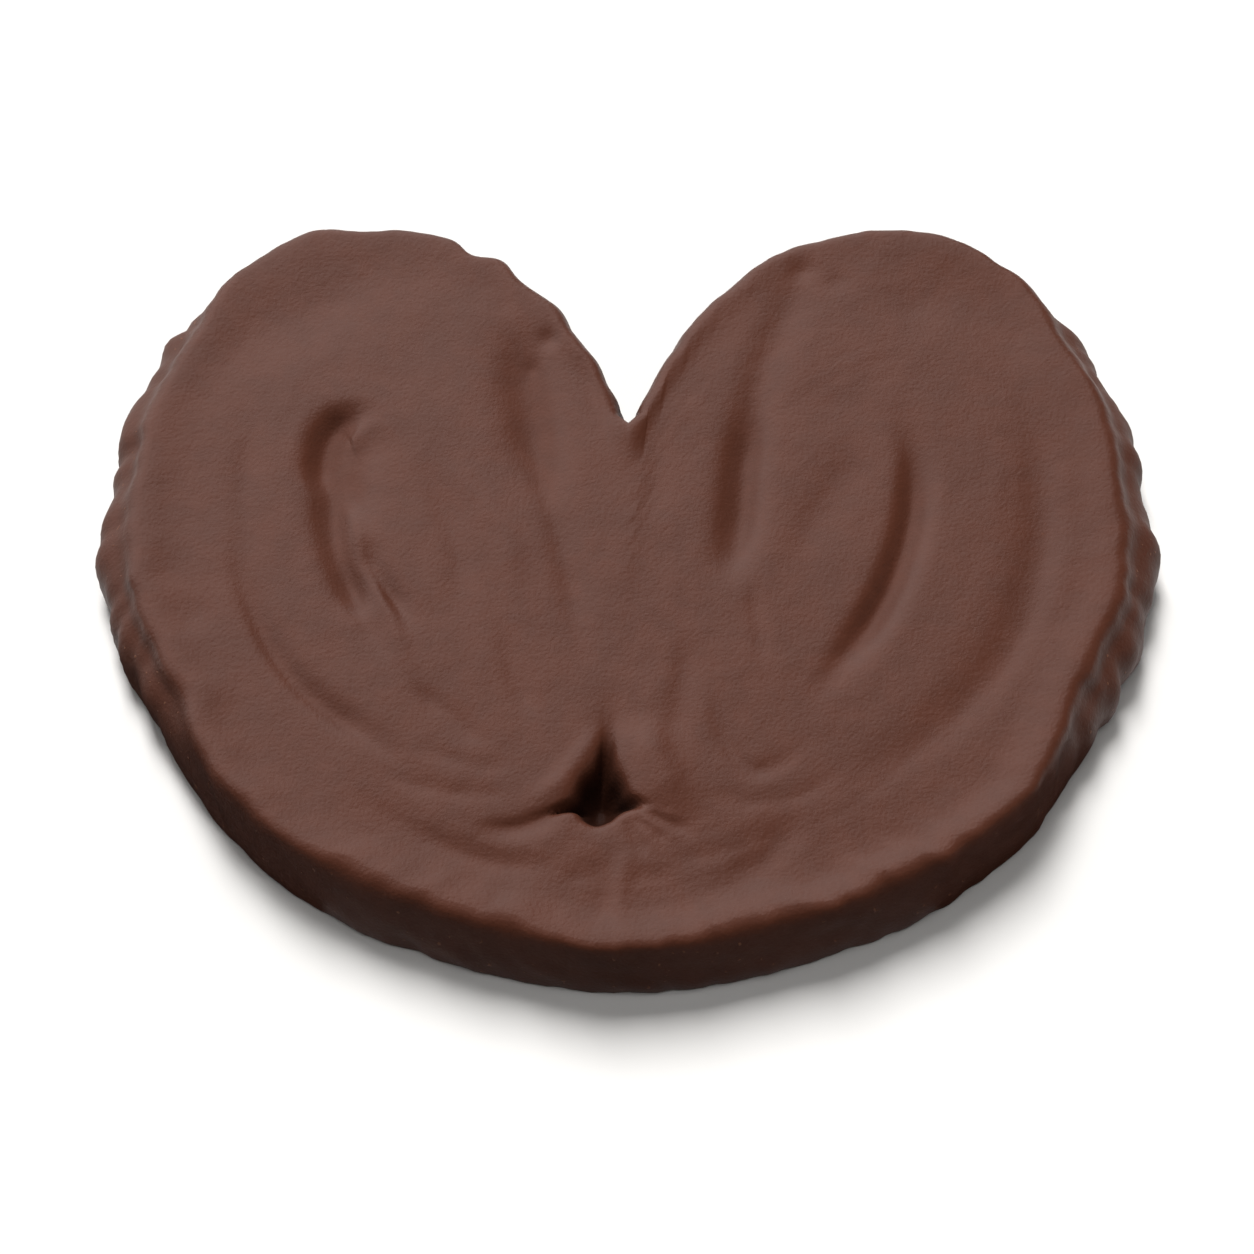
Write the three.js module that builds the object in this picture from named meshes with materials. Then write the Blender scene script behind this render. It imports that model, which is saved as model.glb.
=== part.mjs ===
// A palmier (elephant ear) coated all over in chocolate, lying flat on its underside.
// Millimetres, +Z up. The two rolled lobes point towards +Y with the notch between them,
// and the rounded front edge, where the two rolls meet in a small pit, faces -Y.
//
// The pastry is one sheet rolled up from both ends, so its layers run in long loops round
// a V: from the eye of one roll down to the pit and up to the eye of the other. The solid
// is a grid laid the same way. Its columns run out from that V to the rim, over the rim,
// down the side and back underneath. Its rows are the loops.
import * as THREE from 'three';
import { mergeVertices } from 'three/addons/utils/BufferGeometryUtils.js';

// ---- Driving dimensions, mm ----
const WIDTH = 130;          // across both lobes
const DEPTH = 103.6;        // front edge to the tops of the lobes
const THICKNESS = 10;       // of the coated slice, inside the rim
const RIM_RISE = 0.6;       // the coating stands up this much along the rim
const RIM_TILT = 0.014;     // share of that rise gained for each millimetre towards the front
const RIM_SLOPE = 3.2;      // how far inwards the rise of the rim fades out
const EYE = { x: 28, y: 13 };   // eye of the right roll; the left one mirrors it
const EYE_SHARE = 0.16;     // share of the outline from the notch to the column off an eye
const PIT = { x: -3.2, y: -29.4, depth: 6.5, radius: 3.2 };

// Right half of the outline at its widest, from the notch round to the middle of the front.
// The left half mirrors it.
const HALF_OUTLINE = [
  [0, 23], [0.4, 24.9], [4.2, 33], [10.2, 41.6], [20.2, 49.4], [33.5, 52.5], [45.3, 49.3],
  [55.3, 40.3], [62.2, 26.1], [64.2, 11], [63.6, -2], [57.6, -15.7], [47.3, -31.6],
  [33.1, -42.8], [16.8, -48.9], [0, -51.4],
];

// The side from the crest of the rim to the foot: inset from the widest line, share of the
// height. Round the front and back it is one soft curve. On the flanks the layers swell out
// under the rim.
const PLAIN_SIDE = [
  [2.9, 1], [2.3, 0.985], [1.8, 0.945], [1.4, 0.87], [1.1, 0.75], [0.85, 0.58], [0.6, 0.4],
  [0.45, 0.22], [0.45, 0.06], [0.7, 0],
];
const SWOLLEN_SIDE = [
  [4.9, 1], [4.3, 0.985], [3.7, 0.95], [3.2, 0.89], [2.75, 0.82], [2.2, 0.765], [1.5, 0.715],
  [0.75, 0.64], [0.2, 0.54], [0, 0.42], [0.2, 0.17], [0.8, 0],
];
const FLANK = { start: 50, end: 58 };   // distance from the middle over which the side swells

// At the lobes the crest of the rim stands further out, past y and blended over a few mm.
const BACK_RIM = { push: 0.3, y: 22, blend: 5 };

// Crags: where the side bulges or is dented. Place in plan, half width along the side, then
// how far the side and the rim above it are pushed out.
const CRAGS = [
  { x: -41, y: 51.3, width: 4, side: 1.4, rim: 0.9 },
  { x: -34.5, y: 51.5, width: 3, side: -0.4, rim: -0.4 },
  { x: -27, y: 51.5, width: 4, side: 0.7, rim: 0.6 },
  { x: -22.5, y: 50, width: 2, side: 0.6, rim: 0.5 },
  { x: -19.8, y: 48.2, width: 1.7, side: -0.8, rim: -0.6 },
  { x: -15.5, y: 46.5, width: 2.3, side: 1.2, rim: 1 },
  { x: -9, y: 38.5, width: 3, side: 1.1, rim: 0.8 },
  { x: -4.5, y: 31, width: 4, side: 0.7, rim: 0.5 },
  { x: -1.2, y: 26, width: 1.8, side: 0.7, rim: 0.5 },
  { x: -46, y: 49.5, width: 3, side: 0.5, rim: 0.3 },
  { x: -52, y: 43, width: 4, side: 0.3, rim: 0.2 },
  { x: -62.3, y: 24, width: 3, side: 0.6, rim: 0 },
  { x: -64, y: 7, width: 4, side: 0.5, rim: 0 },
  { x: -64.3, y: 2, width: 2, side: 0.5, rim: -0.4 },
  { x: -58.5, y: -15.5, width: 2, side: 0.1, rim: 0.6 },
  { x: -29, y: -44.8, width: 9.5, side: 0, rim: -1.3 },
  { x: -25.5, y: -46.5, width: 3, side: -0.4, rim: 0 },
  { x: -14, y: -49.5, width: 3.2, side: 0, rim: -1 },
  { x: -2, y: -51.3, width: 8, side: 0, rim: 0.8 },
  { x: 13.5, y: -50, width: 3, side: 0, rim: -0.7 },
  { x: 20.5, y: -48, width: 3, side: 0, rim: -0.7 },
  { x: 25, y: -46.5, width: 4, side: -0.4, rim: 0 },
  { x: 32, y: -44, width: 5, side: 0, rim: -0.7 },
  { x: 47, y: -31, width: 6, side: 0.45, rim: 0.9 },
  { x: 58.5, y: -15.5, width: 2, side: 0.5, rim: 0.2 },
  { x: 64, y: 5, width: 4, side: 0.4, rim: -0.2 },
  { x: 62.8, y: 23, width: 2.5, side: 0.2, rim: 0 },
  { x: 60.8, y: 30, width: 2.8, side: -0.9, rim: 0 },
  { x: 55.5, y: 36, width: 4, side: -0.8, rim: -0.5 },
  { x: 48, y: 47, width: 3, side: -0.7, rim: -0.5 },
  { x: 39, y: 52, width: 3, side: 0.5, rim: 0.3 },
];

// Notches where two lumps of the flank meet, alike on both sides.
const NOTCHES = [
  { x: 63.3, y: 14.6, reach: 1.6, depth: 0.7 },
  { x: 63.4, y: -2.4, reach: 1.4, depth: 0.55 },
  { x: 59.8, y: -12.2, reach: 1.2, depth: 0.3 },
  { x: 56.9, y: -17.7, reach: 1.2, depth: 0.3 },
];

// Folds between the rolled layers, sunk in the top, as places in plan. The half widths are
// those on the right and on the left of someone who walks along the fold. A negative depth
// is a ridge.
const FOLDS = [
  // left roll, from its eye outwards
  { depth: 1.7, right: 1.9, left: 2.4, path: [[-31.5, 20.6], [-35.5, 21.7], [-37.5, 17.3], [-36.1, 7.7]] },
  { depth: 0.8, right: 4.5, left: 2.8, path: [[-31.5, 22], [-33.4, 14], [-31.5, 4]] },
  { depth: 1.3, right: 2.1, left: 1.8, path: [[-37.1, 14.3], [-35.1, 2.8], [-31.4, -7]] },
  { depth: 0.6, right: 1.5, left: 1.5, path: [[-32.6, 7.7], [-30.6, 0.4], [-25.7, -9]] },
  { depth: 0.75, right: 1.6, left: 1.7, path: [[-48.6, 8.2], [-43, -9.5], [-34.6, -19.4], [-22.5, -29.1]] },
  { depth: 0.5, right: 4.5, left: 5, path: [[-24, 46], [-41, 37.5], [-55, 22]] },
  { depth: 0.45, right: 1.8, left: 2.4, path: [[-13, 30], [-8.2, 5], [-4.6, -15]] },
  { depth: 1.3, right: 3.4, left: 3.2, path: [[-14.3, 38], [-11.6, 20], [-10, 8]] },
  { depth: 0.3, right: 1.5, left: 1.7, path: [[-10, 35], [-5, 28], [-0.5, 18.5]] },
  { depth: 0.4, right: 1.5, left: 1.6, path: [[-30, -31], [-18, -37.8], [-7, -38.8]] },
  // right roll, from the notch outwards
  { depth: 1.5, right: 2.4, left: 2.1, path: [[17.1, 33], [14.4, 15.5], [13, 3.5], [11.5, -3]] },
  { depth: 0.45, right: 2.4, left: 2.6, path: [[24, 49], [17.5, 31.5], [15.5, 22]] },
  { depth: 0.25, right: 2.6, left: 3.2, path: [[30.5, 27], [24, 10], [19, -8]] },
  { depth: 1.5, right: 1.6, left: 2.1, path: [[33.4, 25], [34.4, 8], [29.6, -5.5], [21, -18.5]] },
  { depth: 0.55, right: 2.9, left: 2.2, path: [[46.2, 36], [50.4, 10], [44.2, -12.5], [21, -31]] },
  { depth: 0.24, right: 1.5, left: 2, path: [[7.6, -7], [6.2, -16.5], [4.8, -26]] },
  { depth: 0.4, right: 5, left: 4, path: [[53, 25], [40, 40], [29, 43]] },
  // round the pit
  { depth: 0.5, right: 1, left: 1.6, path: [[-7, -31.6], [-13.3, -34], [-19.5, -34.4]] },
  { depth: 0.4, right: 2, left: 2.2, path: [[20.5, -31.5], [14.8, -39], [7.5, -43.5]] },
  { depth: -0.4, right: 1.3, left: 1.7, path: [[-3, -20], [-6.8, -26.8], [-13.5, -31.8]] },
  { depth: -0.8, right: 3.4, left: 2.6, path: [[0.5, -19], [3.3, -26.6], [9, -31.8]] },
];
const FOLD_FADE = 0.35;     // share of a fold's length over which it fades out at each end

// Mouth of the pit: an apex towards the notch and one arm on each side.
const PIT_MOUTH = [
  [-2.9, -23.4], [-2.1, -23.4], [-1.8, -25], [-0.9, -29.2], [1.2, -31], [-1.2, -31.6],
  [-3.7, -33.2], [-5.9, -31.7], [-8.6, -31.9], [-5.8, -29.9], [-3.5, -25],
];
const PIT_ARM_FADE = 2.4;   // nearer the middle than this, the arms are mostly gone
const PIT_SOFTNESS = { back: 0.26, front: 0.1 };   // of its edge, as a share of the reach
const PIT_STEEPNESS = { back: 1.15, front: 2.75, focus: 2 };   // focus narrows the front wall

// The thin end at the front, where only the outer layers meet.
const FRONT_DIP = { y: -50, reachX: 24, reachY: 14, depth: 0.6 };

// Small unevenness of the coating: waves of nearly random direction, from a seeded draw. Each
// kind has its height and its shortest and longest wave. On the side, waves lean as they rise.
const SEED = 7;
const WAVE_COUNT = 6;
const SIDE_WAVE = { height: 0.3, shortest: 6, longest: 16, leanX: 0.9, leanY: -1.3 };
const FLANK_LUMP = { height: 1.2, middle: 0.25, shortest: 8, longest: 16, leanX: 0.4, leanY: -0.6 };
const TOP_WAVE = { height: 0.1, shortest: 9, longest: 26 };
const RIM_WAVE = 0.35;      // how far the waves of the side move the crest of the rim

// Down the side, the push of the rim gives way to the side's own push: it has gone at this
// share of the way down, and starts slowly, by this power.
const OWN_PUSH = { share: 0.8, power: 1.5 };

// ---- How fine the grid is ----
const COLUMNS = 176;        // a multiple of 4
const TOP_ROWS = 22;
const SIDE_ROWS = 10;
const ROW_GATHER = 1.3;     // above 1, the rows of the top lie closer near the V
const CHAIN_STEPS = 5;      // pieces between two places of a fold
const MOUTH_STEPS = 360;    // points that the mouth of the pit is read from
const OUTLINE_PARTS = 2000; // pieces that the outline's length is measured from
const OUTLINE_STEP = 0.003; // share of the outline on each side that gives its direction
const WELD = 1e-4;          // corners nearer than this are one

const { lerp, clamp, smoothstep } = THREE.MathUtils;
const bell = (distance, width) => Math.exp(-((distance / width) ** 2));

function seededDraw(seed) {
  let state = seed;
  return () => {
    state = (state * 1664525 + 1013904223) % 4294967296;
    return state / 4294967296;
  };
}
const draw = seededDraw(SEED);

function makeWaves({ shortest, longest }) {
  return Array.from({ length: WAVE_COUNT }, () => {
    const length = lerp(shortest, longest, draw());
    const heading = 2 * Math.PI * draw();
    return {
      kx: (2 * Math.PI * Math.cos(heading)) / length,
      ky: (2 * Math.PI * Math.sin(heading)) / length,
      phase: 2 * Math.PI * draw(),
    };
  });
}
const sideWaves = makeWaves(SIDE_WAVE);
const flankWaves = makeWaves(FLANK_LUMP);
const topWaves = makeWaves(TOP_WAVE);

// Mean of the waves at a place in plan, between -1 and 1.
function wavesAt(waves, x, y) {
  let sum = 0;
  for (const wave of waves) sum += Math.sin(wave.kx * x + wave.ky * y + wave.phase);
  return sum / waves.length;
}

// A smooth closed curve through places in plan.
function closedCurve(places) {
  const points = places.map(([x, y]) => new THREE.Vector3(x, y, 0));
  return new THREE.CatmullRomCurve3(points, true, 'catmullrom', 0.5);
}

// A smooth open curve through pairs of numbers, cut into equal steps of its parameter.
function openCurve(pairs, steps) {
  return new THREE.SplineCurve(pairs.map(([u, v]) => new THREE.Vector2(u, v))).getPoints(steps);
}

// The closed outline, from the notch, clockwise seen from above.
const mirroredHalf = HALF_OUTLINE.slice(1, -1).reverse().map(([x, y]) => [-x, y]);
const outline = closedCurve([...HALF_OUTLINE, ...mirroredHalf]);
outline.arcLengthDivisions = OUTLINE_PARTS;

// Share of the way round the outline for a place counted in quarters: 0 at the notch, 1 and
// 3 off the eyes, 2 at the front.
function arcShare(quarter) {
  const stops = [0, EYE_SHARE, 0.5, 1 - EYE_SHARE, 1];
  const index = Math.min(Math.floor(quarter), 3);
  return lerp(stops[index], stops[index + 1], quarter - index);
}

const plainSide = openCurve(PLAIN_SIDE, SIDE_ROWS);
const swollenSide = openCurve(SWOLLEN_SIDE, SIDE_ROWS);

// One column of the grid: its foot on the V, its place on the outline, the outward direction
// there, how far the side and the rim are pushed out, how much the side swells, its section
// and the crest of the rim.
function columnAt(quarter) {
  const share = arcShare(quarter);
  const place = outline.getPointAt(share);
  const ahead = outline.getPointAt((share + OUTLINE_STEP) % 1);
  const behind = outline.getPointAt((share - OUTLINE_STEP + 1) % 1);
  const along = ahead.sub(behind).normalize();
  const outward = new THREE.Vector2(-along.y, along.x);

  let side = 0;
  let rim = BACK_RIM.push / (1 + Math.exp((BACK_RIM.y - place.y) / BACK_RIM.blend));
  for (const crag of CRAGS) {
    const near = bell(Math.hypot(place.x - crag.x, place.y - crag.y), crag.width);
    side += crag.side * near;
    rim += crag.rim * near;
  }
  for (const notch of NOTCHES) {
    const away = Math.hypot(Math.abs(place.x) - notch.x, place.y - notch.y);
    side -= notch.depth * Math.exp(-away / notch.reach);
  }
  rim += RIM_WAVE * wavesAt(sideWaves, place.x, place.y);

  const swell = smoothstep(Math.abs(place.x), FLANK.start, FLANK.end);
  const section = plainSide.map((point, i) => point.clone().lerp(swollenSide[i], swell));
  const towardsEye = (1 - Math.cos(Math.PI * quarter)) / 2;
  const eyeX = quarter < 2 ? EYE.x : -EYE.x;
  const foot = new THREE.Vector2(lerp(PIT.x, eyeX, towardsEye), lerp(PIT.y, EYE.y, towardsEye));
  const crest = new THREE.Vector2(place.x, place.y).addScaledVector(outward, rim - section[0].x);
  return { place, outward, side, rim, swell, section, foot, crest };
}

const foldLines = FOLDS.map(({ path, ...shape }) => {
  const chain = openCurve(path, CHAIN_STEPS * (path.length - 1));
  return { chain, ...shape };
});

// Height that a fold adds: a trough or ridge along its chain, fading out towards both ends.
function foldHeight({ chain, depth, right, left }, x, y) {
  let nearest = Infinity;
  let width = left;
  let reached = 0;
  for (let i = 1; i < chain.length; i += 1) {
    const offX = x - chain[i - 1].x;
    const offY = y - chain[i - 1].y;
    const dx = chain[i].x - chain[i - 1].x;
    const dy = chain[i].y - chain[i - 1].y;
    const t = clamp((offX * dx + offY * dy) / (dx * dx + dy * dy), 0, 1);
    const away = Math.hypot(offX - t * dx, offY - t * dy);
    if (away < nearest) {
      nearest = away;
      width = dx * offY > dy * offX ? left : right;
      reached = (i - 1 + t) / (chain.length - 1);
    }
  }
  const fade = smoothstep(Math.min(reached, 1 - reached), 0, FOLD_FADE);
  return -depth * fade * bell(nearest, width);
}

// The mouth of the pit as directions and reaches from its middle.
const pitMouth = closedCurve(PIT_MOUTH).getPoints(MOUTH_STEPS).map(({ x, y }) => ({
  angle: Math.atan2(y - PIT.y, x - PIT.x),
  reach: Math.hypot(x - PIT.x, y - PIT.y),
}));

function mouthReach(angle) {
  const closeness = (point) => Math.cos(point.angle - angle);
  return pitMouth.reduce((best, point) => (closeness(point) > closeness(best) ? point : best)).reach;
}

// How deep the pit is at a point: a funnel with a star-shaped mouth whose arms fade towards
// its middle, soft at the edge and steepest at the front.
function pitDepth(x, y) {
  const radius = Math.hypot(x - PIT.x, y - PIT.y);
  const angle = Math.atan2(y - PIT.y, x - PIT.x);
  const armShare = radius ** 3 / (radius ** 3 + PIT_ARM_FADE ** 3);
  const reach = lerp(PIT.radius, mouthReach(angle), armShare);
  const inside = 1 - radius / reach;
  const softness = lerp(PIT_SOFTNESS.front, PIT_SOFTNESS.back, (1 + Math.sin(angle)) / 2);
  const inwards = (inside + Math.hypot(inside, softness)) / 2;
  const towardsFront = Math.exp(-PIT_STEEPNESS.focus * (1 + Math.sin(angle)));
  const steepness = lerp(PIT_STEEPNESS.back, PIT_STEEPNESS.front, towardsFront);
  return PIT.depth * (1 - clamp(1 - inwards, 0, 1) ** steepness);
}

// Height of the top inside the rim.
function topHeight(x, y, toCrest) {
  let height = THICKNESS + RIM_RISE * (1 - RIM_TILT * y) * bell(toCrest, RIM_SLOPE);
  for (const fold of foldLines) height += foldHeight(fold, x, y);
  height -= FRONT_DIP.depth * bell(x, FRONT_DIP.reachX) * bell(y - FRONT_DIP.y, FRONT_DIP.reachY);
  return height - pitDepth(x, y) + TOP_WAVE.height * wavesAt(topWaves, x, y);
}

// The waves at a height of the side, where they lean away from the place in plan.
function leaningWaves(waves, { leanX, leanY }, place, height) {
  return wavesAt(waves, place.x + leanX * height, place.y + leanY * height);
}

// In and out at a height of the side: soft waves everywhere, and lumps with sharp clefts
// between them on the flanks.
function sideUnevenness({ place, swell }, height) {
  const wave = leaningWaves(sideWaves, SIDE_WAVE, place, height);
  const lump = Math.abs(leaningWaves(flankWaves, FLANK_LUMP, place, height));
  return SIDE_WAVE.height * wave + FLANK_LUMP.height * swell * (lump - FLANK_LUMP.middle);
}

// All places of one column, from the V over the top, the rim and the side to the underside.
function columnPlaces(quarter) {
  const column = columnAt(quarter);
  const { place, outward, side, rim, section, foot, crest } = column;
  const places = [];
  for (let row = 0; row <= TOP_ROWS; row += 1) {
    const spot = foot.clone().lerp(crest, (row / TOP_ROWS) ** ROW_GATHER);
    places.push([spot.x, spot.y, topHeight(spot.x, spot.y, spot.distanceTo(crest))]);
  }
  const crestHeight = places[TOP_ROWS][2];
  for (let row = 1; row <= SIDE_ROWS; row += 1) {
    const height = section[row].y * crestHeight;
    const turn = (Math.PI / 2) * Math.min(row / SIDE_ROWS / OWN_PUSH.share, 1);
    const ownShare = Math.sin(turn) ** OWN_PUSH.power;
    const push = lerp(rim, side + sideUnevenness(column, height), ownShare);
    const out = push - section[row].x;
    places.push([place.x + outward.x * out, place.y + outward.y * out, height]);
  }
  places.push([foot.x, foot.y, 0]);
  return places;
}

// Puts the middle of the plan at the origin, at the exact driving width and depth.
function centreOnFloor(geometry) {
  geometry.computeBoundingBox();
  const { min, max } = geometry.boundingBox;
  geometry.translate(-(min.x + max.x) / 2, -(min.y + max.y) / 2, -min.z);
  geometry.scale(WIDTH / (max.x - min.x), DEPTH / (max.y - min.y), 1);
}

// The grid becomes one closed body: the columns close round, and both ends of each column
// meet those of the column across the V.
function makePalmier() {
  const columns = [];
  for (let k = 0; k < COLUMNS; k += 1) columns.push(columnPlaces((4 * k) / COLUMNS));
  const rows = columns[0].length;
  const faces = [];
  for (let k = 0; k < COLUMNS; k += 1) {
    const next = (k + 1) % COLUMNS;
    for (let row = 0; row < rows - 1; row += 1) {
      const inner = k * rows + row;
      const innerNext = next * rows + row;
      faces.push(inner, innerNext + 1, inner + 1);
      faces.push(inner, innerNext, innerNext + 1);
    }
  }
  const grid = new THREE.BufferGeometry();
  grid.setAttribute('position', new THREE.Float32BufferAttribute(columns.flat(2), 3));
  grid.setIndex(faces);
  const welded = mergeVertices(grid, WELD);
  const corners = welded.index.array;
  const kept = [];
  for (let i = 0; i < corners.length; i += 3) {
    const [a, b, c] = corners.slice(i, i + 3);
    if (a !== b && b !== c && c !== a) kept.push(a, b, c);
  }
  welded.setIndex(kept);
  centreOnFloor(welded);
  welded.computeVertexNormals();
  return welded;
}

const chocolate = new THREE.MeshStandardMaterial({ color: 0x4a2e26, roughness: 0.4, metalness: 0 });

const palmier = new THREE.Mesh(makePalmier(), chocolate);
palmier.name = 'palmier';

const group = new THREE.Group();
group.add(palmier);

export default group;
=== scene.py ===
import math

import bpy
import numpy as np
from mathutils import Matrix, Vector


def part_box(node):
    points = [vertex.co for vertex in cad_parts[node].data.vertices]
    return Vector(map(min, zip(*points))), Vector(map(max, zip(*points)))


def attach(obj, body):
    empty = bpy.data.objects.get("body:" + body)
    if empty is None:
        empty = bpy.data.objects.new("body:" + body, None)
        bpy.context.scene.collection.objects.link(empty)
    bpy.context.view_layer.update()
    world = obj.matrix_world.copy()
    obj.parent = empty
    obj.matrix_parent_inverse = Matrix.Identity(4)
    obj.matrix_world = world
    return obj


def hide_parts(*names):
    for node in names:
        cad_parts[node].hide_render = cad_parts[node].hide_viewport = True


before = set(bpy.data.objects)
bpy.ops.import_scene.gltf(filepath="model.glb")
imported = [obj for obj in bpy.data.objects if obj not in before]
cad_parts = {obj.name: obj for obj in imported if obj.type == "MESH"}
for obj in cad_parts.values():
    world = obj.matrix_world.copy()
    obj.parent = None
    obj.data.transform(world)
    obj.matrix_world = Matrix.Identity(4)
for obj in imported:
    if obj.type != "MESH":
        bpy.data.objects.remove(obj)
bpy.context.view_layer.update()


# ---- Camera ----
# A long lens that looks down on the rounded front edge from 60 degrees above the floor. The
# picture is square, with a wide margin round the pastry.
CAMERA_ELEVATION = math.radians(60)
CAMERA_DISTANCE = 0.426
CAMERA_TARGET = (-0.0002, -0.0026, 0.0)
FOCAL_LENGTH = 100          # mm
SENSOR_WIDTH = 36           # mm

camera = bpy.data.objects.new("camera", bpy.data.cameras.new("camera"))
bpy.context.collection.objects.link(camera)
camera.data.lens = FOCAL_LENGTH
camera.data.sensor_width = SENSOR_WIDTH
camera.location = (
    CAMERA_TARGET[0],
    CAMERA_TARGET[1] - CAMERA_DISTANCE * math.cos(CAMERA_ELEVATION),
    CAMERA_TARGET[2] + CAMERA_DISTANCE * math.sin(CAMERA_ELEVATION),
)
camera.rotation_euler = (math.pi / 2 - CAMERA_ELEVATION, 0, 0)
bpy.context.scene.camera = camera
bpy.context.scene.view_settings.view_transform = "Standard"


# ---- Palmier ----
# One sheet of puff pastry rolled up from both ends, sliced across, baked flat and then dipped
# whole in milk chocolate. The coating is about a millimetre thick: it rounds the rim, softens the
# folds between the layers and pools in the pit where the two rolls meet. Sizes are in mm.
MM_PER_METRE = 1000
THICKNESS = 10
RIM_RISE = 0.6              # the coating stands up this much along the rim
RIM_TILT = 0.014            # share of that rise gained for each millimetre towards the front
RIM_SLOPE = 3.2             # how far inwards the rise of the rim fades out
EYE = (28, 13)              # eye of the right roll; the left one mirrors it
EYE_SHARE = 0.16            # share of the outline from the notch to the column off an eye
FRONT_DIP = (-50, 24, 14, 0.6)      # y, reach in x and y, depth

# The pit is a round funnel with a star-shaped mouth. One arm of the mouth runs back between the
# two rolls, and two run out to the sides in front of them.
PIT = (-3.2, -29.4)
PIT_DEPTH = 6.5
PIT_RADIUS = 3.2
PIT_TIP = 0.6               # the tip of the funnel is rounded over this radius
PIT_MOUTH = [
    (-2.9, -23.4), (-2.1, -23.4), (-1.8, -25), (-1.6, -26.9), (-0.9, -29.2), (1.2, -31),
    (-1.2, -31.6), (-2.3, -32.6), (-3.7, -33.2), (-5, -32.6), (-5.9, -31.7), (-8.6, -31.9),
    (-5.8, -29.9), (-4.2, -27.5), (-3.5, -25),
]
PIT_ARM_CUBE = 14           # half of an arm is left where the distance cubed is this
PIT_EDGE = 0.2              # softness of the edge, as a share of the reach of the mouth
PIT_EDGE_TURN = 0.08        # added to it at the back and taken off at the front
PIT_STEEPNESS = 1.15        # power of the wall's slope at the back
PIT_STEEPNESS_FRONT = 1.6   # added to it at the front
PIT_STEEPNESS_FOCUS = 2     # how fast that fades towards the sides

# Right half of the outline at its widest, from the notch round to the middle of the front. The
# left half mirrors it.
HALF_OUTLINE = [
    (0, 23), (0.4, 24.9), (4.2, 33), (10.2, 41.6), (20.2, 49.4), (33.5, 52.5), (45.3, 49.3),
    (55.3, 40.3), (62.2, 26.1), (64.2, 11), (63.6, -2), (57.6, -15.7), (47.3, -31.6), (33.1, -42.8),
    (16.8, -48.9), (0, -51.4),
]

# Side from the crest of the rim to the foot: inset from the widest line, share of the height.
# Round the front and back it is one soft curve. On the flanks the layers swell out under the rim.
PLAIN_SIDE = [
    (2.9, 1), (2.3, 0.985), (1.8, 0.945), (1.4, 0.87), (1.1, 0.75), (0.85, 0.58), (0.6, 0.4),
    (0.45, 0.22), (0.45, 0.06), (0.7, 0),
]
SWOLLEN_SIDE = [
    (4.9, 1), (4.3, 0.985), (3.7, 0.95), (3.2, 0.89), (2.75, 0.82), (2.2, 0.765), (1.5, 0.715),
    (0.75, 0.64), (0.2, 0.54), (0, 0.42), (0.2, 0.17), (0.8, 0),
]
FLANK = (50, 58)            # between these distances from the middle, one side becomes the other

# Crags, where the side bulges or is dented: x, y, half width, push of the side, push of the rim
# above it. A push below 0 goes inwards.
CRAGS = [
    # left lobe, from the notch round to the front
    (-1.2, 26, 1.8, 0.7, 0.5), (-4.5, 31, 4, 0.7, 0.5), (-9, 38.5, 3, 1.1, 0.8),
    (-15.5, 46.5, 2.3, 1.2, 1), (-19.8, 48.2, 1.7, -0.8, -0.6), (-22.5, 50, 2, 0.6, 0.5),
    (-27, 51.5, 4, 0.7, 0.6), (-34.5, 51.5, 3, -0.4, -0.4), (-41, 51.3, 4, 1.4, 0.9),
    (-46, 49.5, 3, 0.5, 0.3), (-52, 43, 4, 0.3, 0.2), (-58.6, 34, 2, -0.5, 0),
    (-62.5, 25, 3, 0.4, 0), (-63.6, 19.5, 1.8, -0.5, 0), (-64, 10.5, 2, 0.5, 0),
    (-64, 7, 4, 0.5, 0), (-64.3, 3, 2, 0.1, -0.4), (-58.5, -15.5, 2, 0.3, 0.6),
    (-29, -44.8, 9.5, 0, -1.3), (-25.5, -46.5, 3, -0.4, 0), (-14, -49.5, 3.2, 0, -1),
    (-2, -51.3, 8, 0, 0.8),
    # right lobe, from the front round to the back
    (13.5, -50, 3, 0, -0.7), (20.5, -48, 3, 0, -0.7), (25, -46.5, 4, -0.4, 0),
    (32, -44, 5, 0, -0.7), (47, -31, 6, 0.45, 0.9), (58.5, -15.5, 2, 0.5, 0.2),
    (64.3, 1.6, 2, 0.2, -0.4), (64, 7, 4, 0.3, 0), (62.8, 23, 2.5, 0.2, 0),
    (60.8, 30, 2.8, -0.9, 0), (55.5, 36, 4, -0.8, -0.5), (48, 47, 3, -0.7, -0.5),
    (39, 52, 3, 0.5, 0.3),
]

# Notches where two lumps of the flank meet, alike on both sides: x, y, reach, depth.
NOTCHES = [
    (63.3, 14.6, 1.6, 0.7), (63.4, -2.4, 1.4, 0.55), (59.8, -12.2, 1.2, 0.3), (56.9, -17.7, 1.2, 0.3),
]

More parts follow.
